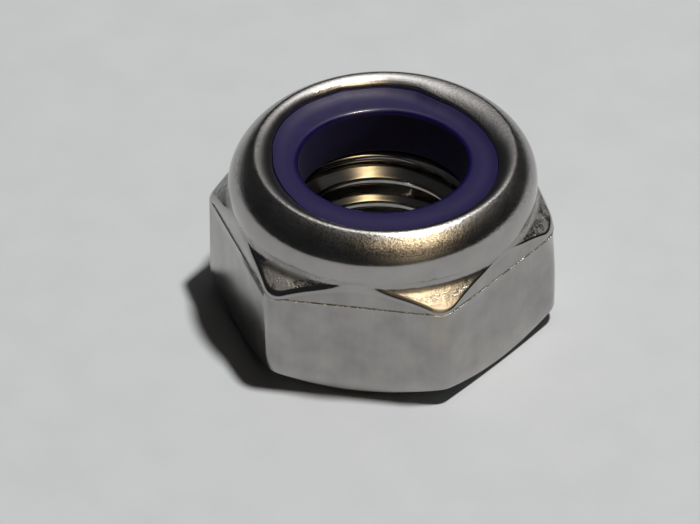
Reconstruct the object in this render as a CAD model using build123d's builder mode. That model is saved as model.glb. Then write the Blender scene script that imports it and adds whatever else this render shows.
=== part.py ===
from build123d import *
import os
from math import cos, hypot, isclose, radians, sin, sqrt, tan

# Nylon insert lock nut, M8 x 1.25, 13 mm across flats and 8 mm high.
# The nut stands on its bearing face at Z = 0, with the thread's axis on Z and two corners on X.
# nut_body is one cold-formed piece of stainless steel: a hexagon that carries a round collar.
# nylon_ring lies in the collar's recess, and the collar's rim is rolled in over it to hold it.

os.makedirs("parts", exist_ok=True)

# Hexagon
across_flats = 13.0
nut_height = 8.0
corner_radius = 0.5            # rounding of the upright corners
bearing_setback = 0.4          # from the flats in to the edge of the bearing face
bearing_chamfer_angle = 30.0   # rise of the chamfer under the corners
facet_angle = 43.0             # fall of the corner facets away from the collar
flat_edge_radius = 0.12        # softened edges between the flats and the facets
blank_margin = 1.0             # the turned blank reaches past the hexagon's sharp corners by this much

# Thread
thread_diameter = 8.0
thread_pitch = 1.25
thread_angle = 60.0            # between the flanks
thread_depth_share = 5 / 8     # depth of the thread as a share of its flanks' full height
countersink_clearance = 0.2    # the countersinks open this much wider than the thread's diameter
countersink_angle = 30.0       # rise of the countersinks

# Collar, measured up from where its outside meets the corner facets
collar_height = 2.35
collar_base_setback = 0.11     # from the flats in to the foot of the collar
collar_bulge = 0.085           # the wall's belly stands this far outside its foot
belly_height = 0.72            # the belly's widest line above the foot
foot_fillet = 0.45             # hollow between the collar and the facets
collar_wall = 1.0              # thickness of the wall at its foot

# Rolled rim
crest_inset = 1.065            # from the belly in to the crest
crest_radius = 0.3
lip_reach = 0.61               # the rim reaches in over the ring this far from the recess wall
lip_slope = 25.0               # fall of the rim from its crest down to the ring
lip_edge = 0.26                # thickness of the rim at the mouth
lip_edge_radius = 0.08
lip_underside_angle = 45.0
recess_shoulder_radius = 0.4   # where the recess wall bends in under the rim
recess_corner_radius = 0.1     # between the recess wall and the ring's seat

# Nylon ring
ring_height = 2.35             # from its seat to its face beside the rim
ring_bite = 0.465              # the bore is smaller than the thread's outside by this much all round
ring_clearance = 0.02          # between the ring and the recess wall, and under the rim
ring_dish = 0.1                # the face sinks this much from the rim to the bore
ring_bore_edge_radius = 0.3
ring_edge_radius = 0.15        # round its lower edges
ring_reveal = 0.11             # the rim's edge stands this far above the ring

# Places that follow from the sizes above
flat_distance = across_flats / 2
blank_radius = across_flats / sqrt(3) + blank_margin
bearing_radius = flat_distance - bearing_setback
foot_radius = flat_distance - collar_base_setback
foot_z = nut_height - collar_height
belly_radius = foot_radius + collar_bulge
belly_z = foot_z + belly_height
crest_z = nut_height - crest_radius
recess_radius = foot_radius - collar_wall
mouth_radius = recess_radius - lip_reach
flank_height = thread_pitch / 2 / tan(radians(thread_angle / 2))
minor_radius = thread_diameter / 2 - flank_height * thread_depth_share
countersink_radius = thread_diameter / 2 + countersink_clearance
countersink_depth = (countersink_radius - minor_radius) * tan(radians(countersink_angle))

# The shoulder is one arc, upright at the belly and tangent to the small round at the crest.
crest_rise = crest_z - belly_z
belly_to_crest_squared = crest_rise**2 + crest_inset**2
shoulder_radius = (belly_to_crest_squared - crest_radius**2) / 2 / (crest_inset - crest_radius)
shoulder_centre = Vector(belly_radius - shoulder_radius, belly_z)
crest_centre = Vector(belly_radius - crest_inset, crest_z)
crest_start = crest_centre + (crest_centre - shoulder_centre).normalized() * crest_radius
crest_top = crest_centre + Vector(0, crest_radius)
lip_normal = Vector(-sin(radians(lip_slope)), cos(radians(lip_slope)))
crest_end = crest_centre + lip_normal * crest_radius

# The rim falls straight from the crest to the mouth, and its underside bends back to the recess wall.
lip_top_z = crest_end.Y - (crest_end.X - mouth_radius) * tan(radians(lip_slope))
lip_bottom_z = lip_top_z - lip_edge
ring_top_z = lip_top_z - ring_reveal
seat_z = ring_top_z - ring_height
shoulder_z = lip_bottom_z - lip_reach * tan(radians(lip_underside_angle))
ring_bore_radius = thread_diameter / 2 - ring_bite
ring_outer_radius = recess_radius - ring_clearance
ring_mouth_radius = mouth_radius - ring_clearance


def is_hexagon_side(face):
    """True for the six flats and the rounded corners between them."""
    centre = face.center()
    is_upright = isclose(face.normal_at().Z, 0, abs_tol=1e-3)
    return is_upright and hypot(centre.X, centre.Y) > foot_radius


# Steel body: one turned section, from the countersink out round the hexagon and the collar to the bore
with BuildPart() as nut_body:
    with BuildSketch(Plane.XZ) as section:
        with BuildLine():
            outside = Polyline(
                (minor_radius, countersink_depth),
                (countersink_radius, 0),
                (bearing_radius, 0),
                (blank_radius, (blank_radius - bearing_radius) * tan(radians(bearing_chamfer_angle))),
                (blank_radius, foot_z - (blank_radius - foot_radius) * tan(radians(facet_angle))),
                (foot_radius, foot_z),
            )
            belly = TangentArc((belly_radius, belly_z), outside @ 1, tangent=(0, -1))
            shoulder = TangentArc(belly @ 0, crest_start, tangent=(0, 1))
            crest = ThreePointArc(shoulder @ 1, crest_top, crest_end)
            rim_and_recess = FilletPolyline(
                crest @ 1,
                (mouth_radius, lip_top_z),
                (mouth_radius, lip_bottom_z),
                (recess_radius, shoulder_z),
                (recess_radius, seat_z),
                (countersink_radius, seat_z),
                radius=[lip_edge_radius, lip_edge_radius, recess_shoulder_radius, recess_corner_radius],
            )
            bore = Polyline(rim_and_recess @ 1, (minor_radius, seat_z - countersink_depth), outside @ 0)
        make_face()
        fillet(section.vertices().sort_by_distance((foot_radius, foot_z))[0], foot_fillet)
    revolve(axis=Axis.Z)
    # the hexagon's flats cut the turned blank and stay clear of the collar
    with BuildSketch(Plane.XY):
        hexagon = RegularPolygon(radius=flat_distance, side_count=6, major_radius=False)
        fillet(hexagon.vertices(), corner_radius)
    extrude(amount=nut_height, mode=Mode.INTERSECT)
    hexagon_sides = nut_body.faces().filter_by(is_hexagon_side)
    fillet(hexagon_sides.edges().filter_by(Axis.Z, reverse=True), flat_edge_radius)
nut_body.part.label = "nut_body"
export_step(nut_body.part, "parts/nut_body.step")

# Nylon ring: it fills the recess, and its outer edge is pressed down by the rim
with BuildPart() as nylon_ring:
    with BuildSketch(Plane.XZ) as ring_section:
        with BuildLine():
            FilletPolyline(
                (ring_bore_radius, seat_z),
                (ring_outer_radius, seat_z),
                (ring_outer_radius, shoulder_z - ring_clearance),
                (ring_mouth_radius, lip_bottom_z - ring_clearance),
                (ring_mouth_radius, ring_top_z),
                (ring_bore_radius, ring_top_z - ring_dish),
                radius=[
                    ring_edge_radius,
                    ring_edge_radius,
                    recess_shoulder_radius,
                    0,
                    0,
                    ring_bore_edge_radius,
                ],
                close=True,
            )
        make_face()
    revolve(axis=Axis.Z)
nylon_ring.part.label = "nylon_ring"
export_step(nylon_ring.part, "parts/nylon_ring.step")
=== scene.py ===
from math import cos, pi, radians, sin, tan
from types import SimpleNamespace

import bmesh
import bpy
import numpy as np
from mathutils import Matrix, Vector


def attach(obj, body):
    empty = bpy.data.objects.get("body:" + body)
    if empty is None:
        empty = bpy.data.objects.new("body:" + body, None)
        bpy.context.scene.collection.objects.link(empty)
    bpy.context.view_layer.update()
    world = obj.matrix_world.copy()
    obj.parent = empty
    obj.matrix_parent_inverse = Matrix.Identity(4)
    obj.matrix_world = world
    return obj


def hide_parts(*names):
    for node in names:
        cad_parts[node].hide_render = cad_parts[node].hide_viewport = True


# Nylon insert lock nut, M8 x 1.25, 13 mm across flats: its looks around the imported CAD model.
# Shapes are worked out in millimetres, in the CAD model's frame, and MM turns them into metres.

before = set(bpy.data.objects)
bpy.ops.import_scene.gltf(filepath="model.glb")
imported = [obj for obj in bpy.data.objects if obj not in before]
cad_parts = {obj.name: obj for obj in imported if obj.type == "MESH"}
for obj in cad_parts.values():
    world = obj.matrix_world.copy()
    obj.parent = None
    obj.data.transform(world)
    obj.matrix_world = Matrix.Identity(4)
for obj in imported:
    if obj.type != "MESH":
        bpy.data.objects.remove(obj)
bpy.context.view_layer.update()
MM = 0.001

# Hexagon
flat_distance = 6.469          # from the axis to a flat. The raised line stands about 0.02 further out
nut_height = 8.0
bearing_radius = 6.1
bearing_chamfer = tan(radians(30))
bearing_edge_round = 0.08
chamfer_edge_round = 0.12
foot_radius = 6.39
foot_z = 5.65
facet_fall = tan(radians(43))
facet_reach = 2.0              # the facets' section is drawn this far out, past the hexagon's corners

# Line that the forming die left round the flats
witness_z = 4.66
witness_rise = 0.03            # the flats stand this much further out below the line than just above it
witness_half_width = 0.022
witness_fade = -0.15, 0.1      # it goes from gone to full as the flat's top lies this far above it
burr_reach = 0.07              # the burrs beside the line fade out this far below it
burr_heights = 0.2, 0.8        # lowest and highest burr, as shares of witness_rise
burr_seed = 7

# Rounding between the flats and the corner facets, at angles round the axis in degrees
facet_edge_rounding = [(0, 0.2), (295, 0.2), (305, 0.1), (355, 0.1)]

# Rounding of the six corners, from the one on +X round: at their foot and at their top
corner_rounding = [(0.9, 1.7), (0.9, 0.9), (0.8, 0.8), (0.5, 0.5), (0.8, 1.0), (0.6, 1.1)]
round_change_start = 0.375     # share of the side's height where the one begins to turn into the other

# Collar and rolled rim, with its falls and angles in degrees
belly_radius = 6.475
belly_z = 6.37
foot_hollow = 0.27
crest_radius = 0.3
crest_inset = 1.065
lip_fall = 48.0                # the rim curls down from its crest and falls this steeply at its mouth
open_lip_fall = 30.0           # the same where it reaches furthest in over the ring
open_side = 52.0               # angle of that place's middle
open_reach = 38.0              # angle from there to where the fall is halfway between the two
lip_edge_width = 0.03          # the mouth's edge falls steeply over this width
lip_edge_fall = 0.05           # by this much or more
lip_edge_depth = 0.03          # to this far below the ring's outer edge, or deeper
lip_edge_round = 0.02
lip_under_depth = 0.11
lip_underside_rise = tan(radians(45))
recess_radius = 5.39
recess_shoulder_round = 0.15
recess_corner_round = 0.1
seat_z = 5.277

# The rim's crest leans a little to one side and dips at the front
rim_lean = 0.09
rim_lean_angle = 10.0
rim_dip = 0.12
rim_dip_angle = 280.0

# The rim's mouth isn't quite round: radius at angles round the axis, in degrees
mouth_outline = [
    (0, 4.86), (8, 4.80), (15, 4.75), (22, 4.66), (38, 4.56), (52, 4.54), (68, 4.56), (75, 4.65),
    (82, 4.80), (98, 4.88), (112, 4.86), (120, 4.92), (128, 4.87), (142, 4.91), (158, 4.86), (172, 4.75),
    (180, 4.69), (188, 4.61), (210, 4.60), (225, 4.67), (244, 4.86), (258, 5.03), (275, 5.08),
    (300, 5.08), (320, 5.05), (335, 5.00), (350, 4.92),
]

# Thread
minor_radius = 3.3234
major_radius = 4.0
thread_pitch = 1.25
thread_crest_z = 3.92          # height of a thread crest at thread_crest_angle
thread_crest_angle = 112.5
crest_flat = 0.19              # share of the pitch
root_flat = 0.07               # share of the pitch
countersink_radius = 4.2
countersink_rise = tan(radians(30))

# Nylon ring
ring_bore_radius = 3.535
ring_top_z = 7.627             # where the rim presses on it
ring_sink = 0.05               # its face lies this much lower, past a narrow slope beside the rim
ring_slope_width = 0.3
ring_slope_round = 0.28
ring_tilt = 0.16               # the face sinks by up to this much more, lowest at ring_low_angle
ring_low_angle = 100.0
ring_dish = 0.02               # and by this much from the slope in to the bore
ring_bore_edge_round = 0.25
ring_edge_round = 0.1
ring_gap = 0.02
ring_lip_depth = 0.12          # beside the mouth it goes this far down under the rim
ring_lip_round = 0.02

# Angles round the axis at which the outlines are taken, closer together at the corners
corner_step = 0.5
corner_reach = 7.0
flat_step = 1.4

# Rows of the mesh on curved stretches of the sections
hollow_steps = 10
wall_steps = 5
shoulder_steps = 16
crest_steps = 6
lip_steps = 11
facet_edge_steps = 8
facet_steps = 14

# Rows on the hexagon's side, as shares of its height below the witness line and of that above it
below_line = (0.15, 0.35, 0.55, 0.75, 0.9, 1)
above_line = (0.1, 0.4, 0.75, 1)

# Rows of the thread from one root down to the next, as shares of the pitch above the crest between them
thread_phases = (
    0.46, 0.43, 0.37, 0.25, 0.15, 0.125, 0.09, 0, -0.09, -0.125, -0.15, -0.25, -0.37, -0.43, -0.46,
)

# Turns of the thread, counted from the crest at thread_crest_z. They reach past both ends of the bore
thread_turns = range(4, -6, -1)


def column_angles():
    """Angles of the mesh's columns in radians, once round."""
    near = np.arange(-corner_reach, corner_reach, corner_step)
    count = round((60 - 2 * corner_reach) / flat_step)
    far = np.linspace(corner_reach, 60 - corner_reach, count, endpoint=False)
    one_side = np.concatenate([near, far])
    return np.radians(np.concatenate([one_side + 60 * side for side in range(6)]))


ANGLES = column_angles()

# Sections are lists of rows, and a row is a radius and a height. Each is a number, or an array with one for
# each column. Angles in a section are in degrees, with 0 pointing away from the axis and 90 up.


def smooth(x):
    """0 to 1 along a soft step, for x from 0 to 1."""
    x = np.clip(x, 0, 1)
    return x * x * (3 - 2 * x)


def steps(count):
    """Shares of a way that is walked in equal steps, from the first step to 1."""
    return np.linspace(0, 1, count + 1)[1:]


def line(start, end, count):
    """Points on the straight way from start to end."""
    return [
        (start[0] + (end[0] - start[0]) * share, start[1] + (end[1] - start[1]) * share)
        for share in steps(count)
    ]


def bend(start, corner, end, count):
    """Points on a smooth bend that leaves start towards corner and comes to end."""
    points = []
    for share in steps(count):
        weights = (1 - share)**2, 2 * share * (1 - share), share**2
        points.append(tuple(
            weights[0] * start[i] + weights[1] * corner[i] + weights[2] * end[i] for i in range(2)
        ))
    return points


def arc(centre, radius, start, end, count):
    """Points on an arc, from one angle to another."""
    turns = np.radians(start + (end - start) * steps(count))
    return [(centre[0] + radius * np.cos(t), centre[1] + radius * np.sin(t)) for t in turns]


def towards(start, end, distance):
    """The point at a distance from start on the way to end."""
    share = distance / np.hypot(end[0] - start[0], end[1] - start[1])
    return start[0] + (end[0] - start[0]) * share, start[1] + (end[1] - start[1]) * share


def rounded(points, setbacks, counts):
    """Points of a path with its inner corners bent: a setback and a number of points for each."""
    path = []
    at = points[0]
    for i, (setback, count) in enumerate(zip(setbacks, counts), 1):
        before = towards(points[i], points[i - 1], setback)
        after = towards(points[i], points[i + 1], setback)
        path += line(at, before, 2)
        path += bend(before, points[i], after, count)
        at = after
    return path + line(at, points[-1], 2)


def walked(path):
    """Radii and heights of a path's points, and how far along the path each point lies."""
    r = np.array([point[0] for point in path])
    z = np.array([point[1] for point in path])
    return r, z, np.concatenate([[0], np.cumsum(np.hypot(np.diff(r), np.diff(z)))])


def along(path, starts, share):
    """Points of a path in each column, at a share of the way from that column's start to its end."""
    r, z, run = walked(path)
    at = starts + (run[-1] - starts) * share
    return np.interp(at, run, r), np.interp(at, run, z)


def side_start(path, radius):
    """How far along the path it comes in to each column's radius, and the path's whole length."""
    r, z, run = walked(path)
    inward = int(np.argmin(r)) + 1
    return np.interp(-radius, -r[:inward], run[:inward]), run[-1]


def round_the_axis(outline):
    """Values in each column, from pairs of an angle in degrees and a value."""
    degrees = [angle for angle, value in outline]
    values = [value for angle, value in outline]
    return np.interp(np.degrees(ANGLES) % 360, degrees, values, period=360)


def mouth_radius():
    """Distance from the axis to the rim's inner edge in each column."""
    return round_the_axis(mouth_outline)


def hexagon_radius(height_share):
    """Distance from the axis to the hexagon's side in each column, at a share of the side's height."""
    nearest = np.round(ANGLES / (pi / 3))
    offset = ANGLES - nearest * pi / 3
    corner = nearest.astype(int) % 6
    at_foot = np.array([low for low, high in corner_rounding])[corner]
    at_top = np.array([high for low, high in corner_rounding])[corner]
    change = smooth((height_share - round_change_start) / (1 - round_change_start))
    rounding = at_foot + (at_top - at_foot) * change
    centre = (flat_distance - rounding) / cos(pi / 6)
    tangent_angle = np.arctan2(rounding / 2, centre + rounding * cos(pi / 6))
    flat = flat_distance / np.cos(pi / 6 - np.abs(offset))
    across_squared = np.maximum(rounding**2 - (centre * np.sin(offset))**2, 0)
    rounded_corner = centre * np.cos(offset) + np.sqrt(across_squared)
    return np.where(np.abs(offset) < tangent_angle, rounded_corner, flat)


def underside_rows(side_radius):
    """Rows from the countersink out over the bearing face and its chamfer, and round to the side."""
    chamfer_z = (side_radius - bearing_radius) * bearing_chamfer
    corners = [
        (countersink_radius, 0),
        (bearing_radius, 0),
        (side_radius, chamfer_z),
        (side_radius, chamfer_z + nut_height),
    ]
    path = rounded(corners, (bearing_edge_round, chamfer_edge_round), (3, 5))
    # its last two points lie up the side, which has rows of its own
    return path[:-2]


def side_rows(foot, top):
    """Rows up the hexagon's side from foot to top: below the witness line, across it and above it."""
    low, high = witness_fade
    clear = smooth((top - witness_z - low) / (high - low))
    line_z = np.minimum(witness_z, top - witness_half_width)
    flat_end = line_z - burr_reach
    line_end = line_z + witness_half_width
    ragged = np.random.default_rng(burr_seed).uniform(*burr_heights, len(ANGLES))

    def row(z, rise=0):
        return hexagon_radius((z - foot) / (top - foot)) + rise * witness_rise * clear, z

    # section of the line: places in half widths from its middle, and the share of witness_rise there
    section = [(-0.5, 0.7), (0, ragged), (0.4, 0.2 * ragged), (0.9, -1)]
    flat = [row(foot + (flat_end - foot) * share) for share in below_line]
    burr = [row(line_z + place * witness_half_width, rise) for place, rise in section]
    # the side lies back by witness_rise just above the line, and comes forward again up to its top
    above = [row(line_end + (top - line_end) * share, share - 1) for share in above_line]
    return flat, burr, above


def hexagon_rows(collar_foot):
    """Rows from the bearing face up the hexagon's side and in over the corner facets to the collar."""
    underside = underside_rows(hexagon_radius(0.0))
    start, length = side_start(collar_foot, hexagon_radius(1.0))
    edge_round = round_the_axis(facet_edge_rounding)
    edge_share = edge_round / (length - start)
    edge = along(collar_foot, start, 0)
    facet_start = along(collar_foot, start, edge_share)
    flat, burr, above = side_rows(underside[-1][1], edge[1] - edge_round)
    facet_edge = bend(above[-1], edge, facet_start, facet_edge_steps)
    facet_shares = [edge_share + (1 - edge_share) * share for share in steps(facet_steps)]
    facet = [along(collar_foot, start, share) for share in facet_shares]
    return [
        ("underside", underside), ("flat", flat), ("burr", burr), ("flat", above),
        ("edge", facet_edge), ("facet", facet),
    ]


def collar_section():
    """The corner facets' section with the hollow at the collar's foot, and the collar's up to the crest."""
    belly_arc = ((belly_z - foot_z)**2 / (belly_radius - foot_radius) + belly_radius - foot_radius) / 2
    belly_centre = belly_radius - belly_arc, belly_z
    foot = foot_radius, foot_z
    facet_far = foot_radius + facet_reach, foot_z - facet_reach * facet_fall
    hollow_start = towards(foot, facet_far, foot_hollow)
    hollow_angle = -np.degrees(np.arcsin((belly_z - foot_z - foot_hollow) / belly_arc))
    wall_start = arc(belly_centre, belly_arc, 0, hollow_angle, 1)[0]
    crest_centre = belly_radius - crest_inset, nut_height - crest_radius
    rise = crest_centre[1] - belly_z
    shoulder_arc = (rise**2 + crest_inset**2 - crest_radius**2) / 2 / (crest_inset - crest_radius)
    shoulder_centre = belly_radius - shoulder_arc, belly_z
    shoulder_end = np.degrees(np.arctan2(rise, crest_centre[0] - shoulder_centre[0]))
    collar_foot = [facet_far, hollow_start] + bend(hollow_start, foot, wall_start, hollow_steps)
    wall = arc(belly_centre, belly_arc, hollow_angle, 0, wall_steps)
    shoulder = arc(shoulder_centre, shoulder_arc, 0, shoulder_end, shoulder_steps)
    crest = arc(crest_centre, crest_radius, shoulder_end, 90, crest_steps)
    return collar_foot, [("band", wall), ("rolled", [leaning(point) for point in shoulder + crest])]


def leaning(point):
    """A point of the rim's section in each column, where the rim leans and dips."""
    share = smooth((point[1] - belly_z) / (nut_height - crest_radius - belly_z))
    lean = rim_lean * np.cos(ANGLES - radians(rim_lean_angle))
    dip = rim_dip * (1 + np.cos(ANGLES - radians(rim_dip_angle))) / 2
    return point[0] + lean * share, point[1] - dip * share


def lip_rows(crest_top):
    """Rows down the rim's lip, an arc in each column from the crest's top to the mouth's edge."""
    away = np.abs((np.degrees(ANGLES) - open_side + 180) % 360 - 180)
    closed = smooth(away / open_reach - 0.5)
    turn = np.radians(open_lip_fall + (lip_fall - open_lip_fall) * closed)
    radius = (crest_top[0] - mouth_radius() - lip_edge_width) / np.sin(turn)
    return [
        (crest_top[0] - radius * np.sin(turn * share), crest_top[1] - radius * (1 - np.cos(turn * share)))
        for share in steps(lip_steps)
    ]


def rim_rows(crest_top):
    """Rows from the crest down the rim's lip, under it, down the recess wall and in along the seat."""
    mouth = mouth_radius()
    lip = lip_rows(crest_top)
    lip_end = lip[-1]
    lip_bottom = ring_top_z - lip_under_depth
    corners = [
        lip_end,
        (mouth, np.minimum(lip_end[1] - lip_edge_fall, ring_top_z - lip_edge_depth)),
        (mouth, lip_bottom),
        (recess_radius, lip_bottom - (recess_radius - mouth) * lip_underside_rise),
        (recess_radius, seat_z),
        (countersink_radius, seat_z),
    ]
    setbacks = (lip_edge_round, lip_edge_round, recess_shoulder_round, recess_corner_round)
    return lip + rounded(corners, setbacks, (2, 2, 5, 3))


def thread_radius(z):
    """The thread's radius at a height in each column."""
    turn = (ANGLES - radians(thread_crest_angle)) / (2 * pi)
    phase = (z - thread_crest_z) / thread_pitch - turn
    from_crest = np.abs(phase - np.round(phase))
    flank = (from_crest - crest_flat / 2) / (0.5 - root_flat / 2 - crest_flat / 2)
    return minor_radius + (major_radius - minor_radius) * np.clip(flank, 0, 1)


def bore_rows():
    """Rows down the thread from the ring's seat to the bearing face. They follow the helix."""
    helix = thread_crest_z + thread_pitch * (ANGLES - radians(thread_crest_angle)) / (2 * pi)
    rows = []
    for turn in thread_turns:
        for phase in thread_phases:
            z = np.clip(helix + (turn + phase) * thread_pitch, 0, seat_z)
            cone = countersink_radius - np.minimum(z, seat_z - z) / countersink_rise
            rows.append((np.maximum(thread_radius(z), cone), z))
    return rows


def ring_rows():
    """Rows round the nylon ring's section, closed."""
    mouth = mouth_radius() - ring_gap
    outside = recess_radius - ring_gap
    lip_z = ring_top_z - ring_lip_depth
    face_z = ring_top_z - ring_sink - ring_tilt * (1 + np.cos(ANGLES - radians(ring_low_angle))) / 2
    corners = [
        (mouth, ring_top_z),
        (mouth - ring_slope_width, face_z),
        (ring_bore_radius, face_z - ring_dish),
        (ring_bore_radius, seat_z),
        (outside, seat_z),
        (outside, lip_z - (outside - mouth) * lip_underside_rise),
        (mouth, lip_z),
        (mouth, ring_top_z),
    ]
    setbacks = (
        ring_slope_round, ring_bore_edge_round, ring_edge_round, ring_edge_round, ring_edge_round,
        ring_lip_round,
    )
    rows = rounded(corners, setbacks, (10, 10, 3, 3, 4, 2))
    return [rows[-1]] + rows


def add_row(work, weights, finish, row):
    """Adds a row's points round the axis. They get the weight of their finish, where it has one."""
    radius = np.broadcast_to(row[0], ANGLES.shape)
    z = np.broadcast_to(row[1], ANGLES.shape)
    points = zip(radius * np.cos(ANGLES) * MM, radius * np.sin(ANGLES) * MM, z * MM)
    verts = [work.verts.new(point) for point in points]
    for vert in verts if finish in weights else ():
        vert[weights[finish]] = 1.0
    return verts


def next_point(grid, row, column, rows_a_turn):
    """The point beside a row's point in the next column. Once round, a helix comes to an earlier row."""
    if column + 1 < len(ANGLES):
        return grid[row][column + 1]
    return grid[max(row - rows_a_turn, 0)][0]


def join_rows(work, grid, rows_a_turn, material):
    """Adds the faces between a strip's rows."""
    for row in range(len(grid) - 1):
        for column in range(len(ANGLES)):
            near = next_point(grid, row, column, rows_a_turn)
            far = next_point(grid, row + 1, column, rows_a_turn)
            corners = grid[row][column], near, far, grid[row + 1][column]
            face = work.faces.new(tuple(dict.fromkeys(corners)))
            face.material_index = material


def revolve_rows(name, strips, finishes=()):
    """A closed mesh from strips of rows round the axis. Neighbouring points that coincide are merged.

    A strip is its number of rows in a helix's turn, which is 0 without a helix, and a list of
    (finish, rows). Each finish in finishes becomes a weight of the points. The first strip has the
    piece's first material, and so on.
    """
    mesh = bpy.data.meshes.new(name)
    work = bmesh.new()
    weights = {finish: work.verts.layers.float.new(finish) for finish in finishes}
    for material, (rows_a_turn, strip) in enumerate(strips):
        grid = [add_row(work, weights, finish, row) for finish, rows in strip for row in rows]
        join_rows(work, grid, rows_a_turn, material)
    merge_distance = 1e-4 * MM
    bmesh.ops.remove_doubles(work, verts=work.verts, dist=merge_distance)
    bmesh.ops.dissolve_degenerate(work, edges=work.edges, dist=merge_distance)
    bmesh.ops.recalc_face_normals(work, faces=work.faces)
    for face in work.faces:
        face.smooth = True
    work.to_mesh(mesh)
    work.free()
    piece = bpy.data.objects.new(name, mesh)
    bpy.context.scene.collection.objects.link(piece)
    return piece


STEEL_FINISHES = ("flat", "burr", "facet", "rolled", "lip")


def steel_body():
    collar_foot, collar = collar_section()
    crest_top = collar[-1][1][-1]
    outside = [("underside", [(countersink_radius, 0)])] + hexagon_rows(collar_foot) + collar
    outside.append(("lip", rim_rows(crest_top)))
    bore = [("bore", [(countersink_radius, seat_z)] + bore_rows() + [(countersink_radius, 0)])]
    piece = revolve_rows("steel_nut", [(0, outside), (len(thread_phases), bore)], STEEL_FINISHES)
    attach(piece, "root")
    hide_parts("nut_body")
    return piece


def insert_ring():
    piece = revolve_rows("nylon_insert", [(0, [("moulded", ring_rows())])])
    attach(piece, "root")
    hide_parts("nylon_ring")
    return piece


class Nodes:
    """Small helper that adds and joins the nodes of one tree."""

    def __init__(self, tree):
        self.nodes = tree.nodes
        self.links = tree.links

    def join(self, value, socket):
        """Links a socket to another node's output, or sets it to a plain value."""
        if isinstance(value, bpy.types.NodeSocket):
            self.links.new(value, socket)
        else:
            socket.default_value = value

    def add(self, kind, inputs, output=0, **settings):
        node = self.nodes.new(kind)
        for key, value in settings.items():
            setattr(node, key, value)
        for key, value in inputs.items():
            self.join(value, node.inputs[key])
        return node.outputs[output]

    def math(self, operation, a, b=0.0):
        return self.add("ShaderNodeMath", {0: a, 1: b}, operation=operation)

    def vector(self, operation, a, b, output="Vector"):
        return self.add("ShaderNodeVectorMath", {0: a, 1: b}, output, operation=operation)

    def total(self, *terms):
        """Sum of terms. A term is a value, or a value with the factors that it is multiplied by."""
        result = None
        for term in terms:
            factors = term if isinstance(term, tuple) else (term,)
            value = factors[0]
            for factor in factors[1:]:
                value = self.math("MULTIPLY", value, factor)
            result = value if result is None else self.math("ADD", result, value)
        return result


class Shader(Nodes):
    """The nodes of one material."""

    def __init__(self, name):
        self.material = bpy.data.materials.new(name)
        self.material.use_nodes = True
        super().__init__(self.material.node_tree)
        self.surface = self.nodes["Principled BSDF"]

    def weight(self, name):
        """How far a point of the mesh has this finish, from 0 to 1."""
        return self.add("ShaderNodeAttribute", {}, "Fac", attribute_name=name)

    def millimetres(self):
        """Coordinates on the object, in millimetres."""
        place = self.add("ShaderNodeTexCoord", {}, "Object")
        return self.vector("MULTIPLY", place, (1 / MM, 1 / MM, 1 / MM))

    def noise(self, place, scale, detail=3.0, roughness=0.5):
        """Noise whose largest features are about 1 / scale millimetres across."""
        inputs = {"Vector": place, "Scale": scale, "Detail": detail, "Roughness": roughness}
        return self.add("ShaderNodeTexNoise", inputs, "Fac")

    def spread(self, value, low, high, to_low=0, to_high=1):
        """to_low where the value is low or less, to_high where it is high or more, and even between."""
        inputs = {"Value": value, "From Min": low, "From Max": high, "To Min": to_low, "To Max": to_high}
        return self.add("ShaderNodeMapRange", inputs)

    def mix(self, share, a, b):
        """A colour between two others."""
        return self.add("ShaderNodeMix", {0: share, 6: a, 7: b}, output=2, data_type="RGBA")

    def bump(self, height, distance):
        return self.add("ShaderNodeBump", {"Height": height, "Distance": distance * MM, "Strength": 1.0})

    def set(self, **values):
        for key, value in values.items():
            self.join(value, self.surface.inputs[key.replace("_", " ")])


# A painted sheen, dull and brownish, on the corner that faces the camera. It stands in for the corner's
# reflection, and the corner is rougher there too. It is longer up and down than across
CORNER_SHEEN_PLACE = (3.4, -6.45, 1.5)
CORNER_SHEEN_SQUASH = 0.35

# The corner facet that has stayed bright. The others have dull patches
BRIGHT_PLACE = (3.45, -5.95, 5.2)

# Shades of the steel
STEEL_DARK = (0.38, 0.37, 0.36, 1)
STEEL_LIGHT = (0.44, 0.43, 0.415, 1)
GRIME = (0.05, 0.045, 0.04, 1)
# painted sheen of the corner that faces the camera
CORNER_SHEEN = (0.52, 0.46, 0.38, 1)
# bare steel of the witness line's burrs, brightened into painted glints
BARE_BURR_GLINT = (0.85, 0.84, 0.82, 1)
# near black: painted shade in the hollows of the grain
PIT_SHADE = (0.03, 0.025, 0.02, 1)
THREAD_DARK = (0.30, 0.285, 0.26, 1)
THREAD_LIGHT = (0.38, 0.365, 0.34, 1)

# Shades of the nylon and the floor
NYLON_DARK = (0.005, 0.003, 0.034, 1)
NYLON_LIGHT = (0.007, 0.004, 0.043, 1)
FLOOR_DARK = (0.42, 0.45, 0.49, 1)
FLOOR_LIGHT = (0.44, 0.47, 0.51, 1)


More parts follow.
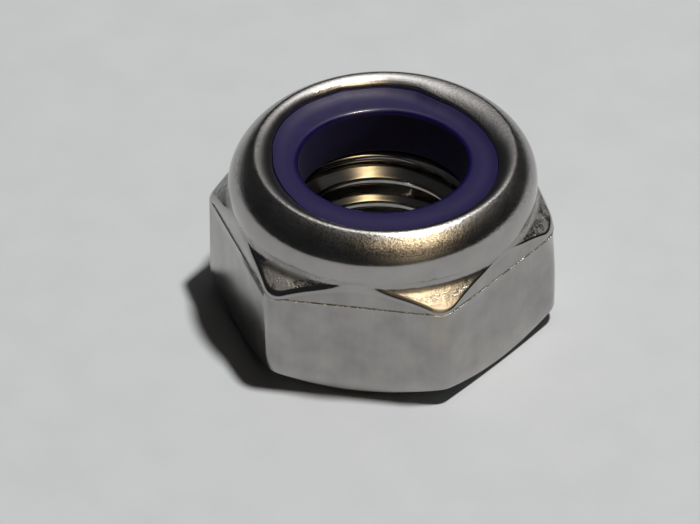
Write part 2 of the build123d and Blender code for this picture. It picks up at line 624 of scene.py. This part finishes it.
def steel_masks(s):
    """Noises and places that the steel's relief, roughness and colour share."""
    place = s.millimetres()
    height = s.add("ShaderNodeSeparateXYZ", {0: place}, "Z")
    masks = SimpleNamespace(**{name: s.weight(name) for name in STEEL_FINISHES})

    masks.cloud = s.noise(place, 0.8)
    masks.patches = s.noise(place, 2.2)
    masks.grain = s.noise(place, 9.0, roughness=0.6)
    masks.fine_grain = s.noise(place, 14.0, detail=2, roughness=0.6)
    masks.specks = s.spread(s.noise(place, 12.0, detail=2), 0.54, 0.62)
    # the flats' marks run upright
    masks.drawn = s.noise(s.vector("MULTIPLY", place, (1, 1, 0.06)), 5.0, detail=4, roughness=0.6)

    from_bright = s.vector("DISTANCE", place, BRIGHT_PLACE, "Value")
    worn = s.math("MULTIPLY", masks.facet, s.spread(from_bright, 2.5, 3.5))
    blotches = s.spread(s.total((masks.cloud, 0.5), (masks.patches, 0.2), (masks.grain, 0.3)), 0.43, 0.52)
    masks.dull_patches = s.math("MULTIPLY", worn, blotches)

    # the rim's shoulder and crest begin at uneven heights
    shoulder_height = s.total(height, (masks.patches, 0.5))
    masks.shoulder = s.math("MULTIPLY", masks.rolled, s.spread(shoulder_height, 7.15, 7.5))
    crest_height = s.total(height, (masks.patches, 0.3))
    masks.crest = s.math("MULTIPLY", masks.rolled, s.spread(crest_height, 7.35, 7.75))

    # the facets' upper ends, just under the collar
    head = s.math("MULTIPLY", s.spread(height, 5.1, 5.25), s.spread(height, 5.3, 5.42, 1, 0))
    masks.facet_head = s.math("MULTIPLY", masks.facet, head)

    # painted sheen on the corner that faces the camera; the same mask makes that corner rougher
    squat = s.vector("MULTIPLY", place, (1, 1, CORNER_SHEEN_SQUASH))
    from_smear = s.vector("DISTANCE", squat, CORNER_SHEEN_PLACE, "Value")
    masks.smear = s.spread(s.total(from_smear, (masks.patches, 0.5)), 0.35, 0.85, 1, 0)
    return masks


def steel_relief(s, masks):
    """Height of the steel's unevenness, in millimetres."""
    # the coarse noises that are weighted are centred on 0, so that the weight's edge leaves no ridge
    uneven = s.math("SUBTRACT", masks.patches, 0.5)
    rough_grain = s.math("SUBTRACT", masks.grain, 0.5)
    return s.total(
        (masks.cloud, 0.006),
        (masks.grain, 0.0006),
        (rough_grain, masks.shoulder, 0.008),
        (masks.fine_grain, masks.shoulder, 0.004),
        (rough_grain, masks.lip, 0.006),
        (masks.fine_grain, masks.lip, 0.004),
        (rough_grain, masks.facet, 0.003),
        (uneven, masks.facet, 0.022),
        (masks.specks, masks.burr, 0.008),
        (masks.specks, masks.facet_head, 0.006),
        (masks.drawn, masks.flat, 0.0008),
    )


def steel_roughness(s, masks):
    return s.total(
        0.09,
        (masks.cloud, 0.06),
        (masks.grain, 0.04),
        (masks.flat, masks.patches, 0.10),
        (masks.burr, 0.12),
        (masks.facet, 0.08),
        (masks.dull_patches, 0.3),
        (masks.shoulder, 0.03),
        (masks.crest, 0.06),
        (masks.lip, 0.06),
        (masks.smear, 0.25),
    )


def steel_colour(s, masks):
    grimy = s.spread(s.total((masks.cloud, 0.7), (masks.drawn, 0.3)), 0.3, 0.7, 0.22, 0.04)
    # dark specks of painted shade across the shoulder's grain and the facets' upper ends
    pit_shade_area = s.total(masks.shoulder, (masks.facet_head, 0.6))
    painted_pit_shade = s.math("MULTIPLY", pit_shade_area, s.spread(masks.fine_grain, 0.40, 0.50, 0.6, 0.0))
    colour = s.mix(s.spread(masks.cloud, 0.3, 0.7), STEEL_DARK, STEEL_LIGHT)
    colour = s.mix(s.total((masks.flat, grimy)), colour, GRIME)
    colour = s.mix(s.total((masks.lip, 0.15)), colour, GRIME)
    # painted sheen on the corner that faces the camera
    colour = s.mix(s.total((masks.smear, 0.4)), colour, CORNER_SHEEN)
    # bare burrs with painted glints on their specks
    colour = s.mix(s.total((masks.burr, masks.specks, 0.8)), colour, BARE_BURR_GLINT)
    return s.mix(painted_pit_shade, colour, PIT_SHADE)


def steel_material():
    """Cold-formed stainless steel: satin flats, mottled facets and a grained rim, with painted shade in the
    rim's grain, painted glints on the burrs and a painted sheen on one corner.
    """
    s = Shader("stainless_steel")
    masks = steel_masks(s)
    s.set(Metallic=1.0, Base_Color=steel_colour(s, masks), Roughness=steel_roughness(s, masks))
    s.set(Normal=s.bump(steel_relief(s, masks), 1.0))
    return s.material


def thread_material():
    """Tapped steel, darker than the outside. The tap's fine marks run round the bore."""
    s = Shader("tapped_thread")
    place = s.millimetres()
    marks = s.noise(s.vector("MULTIPLY", place, (0.1, 0.1, 1)), 12.0)
    cloud = s.noise(place, 1.5)
    colour = s.mix(s.spread(cloud, 0.3, 0.7), THREAD_DARK, THREAD_LIGHT)
    rough = s.spread(cloud, 0.3, 0.7, 0.07, 0.10)
    s.set(Metallic=1.0, Base_Color=colour, Roughness=rough, Normal=s.bump(marks, 0.002))
    return s.material


def nylon_material():
    """Dark violet nylon: glossy round the bore's edge, duller beside the rim, and dull down the bore."""
    s = Shader("violet_nylon")
    place = s.millimetres()
    cloud = s.noise(place, 1.5)
    grain = s.noise(place, 14.0)
    colour = s.mix(s.spread(cloud, 0.3, 0.7), NYLON_DARK, NYLON_LIGHT)
    # how far from the axis the bore's wall ends, then its rounded edge, and where the rim's side begins
    from_axis = s.vector("DISTANCE", s.vector("MULTIPLY", place, (1, 1, 0)), (0, 0, 0), "Value")
    wall = s.spread(from_axis, ring_bore_radius + 0.003, ring_bore_radius + 0.025, 1, 0)
    edge = s.spread(from_axis, 3.6, 3.85, 1, 0)
    rim_side = s.spread(from_axis, 4.0, 4.4)
    rough = s.total(0.28, (grain, 0.2), (edge, -0.18), (wall, 0.7), (rim_side, 0.16))
    s.set(Base_Color=colour, Roughness=rough, Normal=s.bump(grain, 0.002), IOR=1.5)
    s.set(Specular_IOR_Level=0.28)
    return s.material


def floor_material():
    s = Shader("pale_floor")
    grain = s.noise(s.millimetres(), 0.4, detail=4)
    colour = s.mix(s.spread(grain, 0.3, 0.7), FLOOR_DARK, FLOOR_LIGHT)
    s.set(Base_Color=colour, Roughness=0.8)
    return s.material


# Camera: the photograph's viewing angle, far off with a long lens
camera_turn = radians(9.57)
camera_rise = radians(38.0)
camera_distance = 0.3367
focal_pixels = 8000.0
image_width = 700
sensor_width = 36
axis_point_z = 2.81 * MM       # the picture shows this point of the thread's axis
pixels_right = 32.67           # this far to the right of its centre
pixels_up = 13.51              # and this far above it

BACK = Vector((sin(camera_turn) * cos(camera_rise), -cos(camera_turn) * cos(camera_rise), sin(camera_rise)))
RIGHT = Vector((cos(camera_turn), sin(camera_turn), 0))
UP = BACK.cross(RIGHT)


def add_camera():
    data = bpy.data.cameras.new("camera")
    camera = bpy.data.objects.new("camera", data)
    bpy.context.scene.collection.objects.link(camera)
    data.sensor_width = sensor_width
    data.lens = focal_pixels * sensor_width / image_width
    data.clip_start = 0.01
    pixel = camera_distance / focal_pixels
    target = Vector((0, 0, axis_point_z)) - RIGHT * pixels_right * pixel - UP * pixels_up * pixel
    camera.location = target + BACK * camera_distance
    camera.rotation_euler = Matrix((RIGHT, UP, BACK)).transposed().to_euler()
    bpy.context.scene.camera = camera


def studio_direction(direction):
    """A direction in the model's frame, from its parts to the right, away and up as the camera stands."""
    away = Vector((-sin(camera_turn), cos(camera_turn), 0))
    return (RIGHT * direction[0] + away * direction[1] + Vector((0, 0, direction[2]))).normalized()


# Lamp. Its direction and the glows' are to the right, away and up as the camera stands
LAMP_DIRECTION = (0.228, 0.01, 0.97)
LAMP_DISTANCE = 0.6
LAMP_SIZE = 0.06
LAMP_POWER = 4.5
LAMP_SHADE = (1.0, 0.95, 0.88)

# Glows: direction, spread in degrees, shade and strength
GLOWS = [
    ((0.1, 0.4, 0.91), 18.0, (1.0, 0.98, 0.97), 3.6),
    ((0.344, -0.441, 0.829), 11.5, (1.0, 0.78, 0.48), 4.8),
    ((0.383, -0.821, 0.423), 18.0, (1.0, 0.78, 0.5), 0.5),
    ((0.05, -0.52, 0.85), 9.0, (1.0, 0.77, 0.48), 1.0),
    ((0.28, -0.27, 0.92), 6.5, (1.0, 0.77, 0.42), 3.4),
    ((0.0, 0.0, 1.0), 200.0, (0.9, 0.95, 1.0), 0.03),
]


def add_lamp():
    """A small soft lamp that faces the nut and gives its shadow."""
    data = bpy.data.lights.new("key", "AREA")
    data.shape = "DISK"
    data.size = LAMP_SIZE
    data.energy = LAMP_POWER
    data.color = LAMP_SHADE
    lamp = bpy.data.objects.new("key", data)
    bpy.context.scene.collection.objects.link(lamp)
    place = studio_direction(LAMP_DIRECTION)
    lamp.location = place * LAMP_DISTANCE
    lamp.rotation_euler = place.to_track_quat("Z", "Y").to_euler()


def glow(nodes, seen, direction, spread, shade, strength):
    """Light that fades away from its direction along a bell curve."""
    cosine = nodes.vector("DOT_PRODUCT", seen, studio_direction(direction), "Value")
    share = nodes.math("DIVIDE", nodes.math("ARCCOSINE", cosine), radians(spread))
    bell = nodes.math("EXPONENT", nodes.math("MULTIPLY", nodes.math("POWER", share, 2), -1))
    light = [part * strength for part in shade]
    return nodes.add("ShaderNodeVectorMath", {0: light, "Scale": bell}, "Vector", operation="SCALE")


def add_glows():
    """Dim surroundings that glow round the nut. The nut reflects them, and they don't light the floor."""
    world = bpy.data.worlds.new("studio")
    world.use_nodes = True
    nodes = Nodes(world.node_tree)
    seen = nodes.add("ShaderNodeTexCoord", {}, "Generated")
    light = glow(nodes, seen, *GLOWS[0])
    for values in GLOWS[1:]:
        light = nodes.vector("ADD", light, glow(nodes, seen, *values))
    nodes.join(light, nodes.nodes["Background"].inputs["Color"])
    world.cycles_visibility.diffuse = False
    bpy.context.scene.world = world


def add_floor():
    reach = 0.6
    mesh = bpy.data.meshes.new("floor")
    corners = [(-reach, -reach, 0), (reach, -reach, 0), (reach, reach, 0), (-reach, reach, 0)]
    mesh.from_pydata(corners, [], [(0, 1, 2, 3)])
    floor = bpy.data.objects.new("floor", mesh)
    bpy.context.scene.collection.objects.link(floor)
    mesh.materials.append(floor_material())


add_camera()
nut = steel_body()
nut.data.materials.append(steel_material())
nut.data.materials.append(thread_material())
insert = insert_ring()
insert.data.materials.append(nylon_material())
add_floor()
add_lamp()
add_glows()
bpy.context.scene.view_settings.view_transform = "Standard"
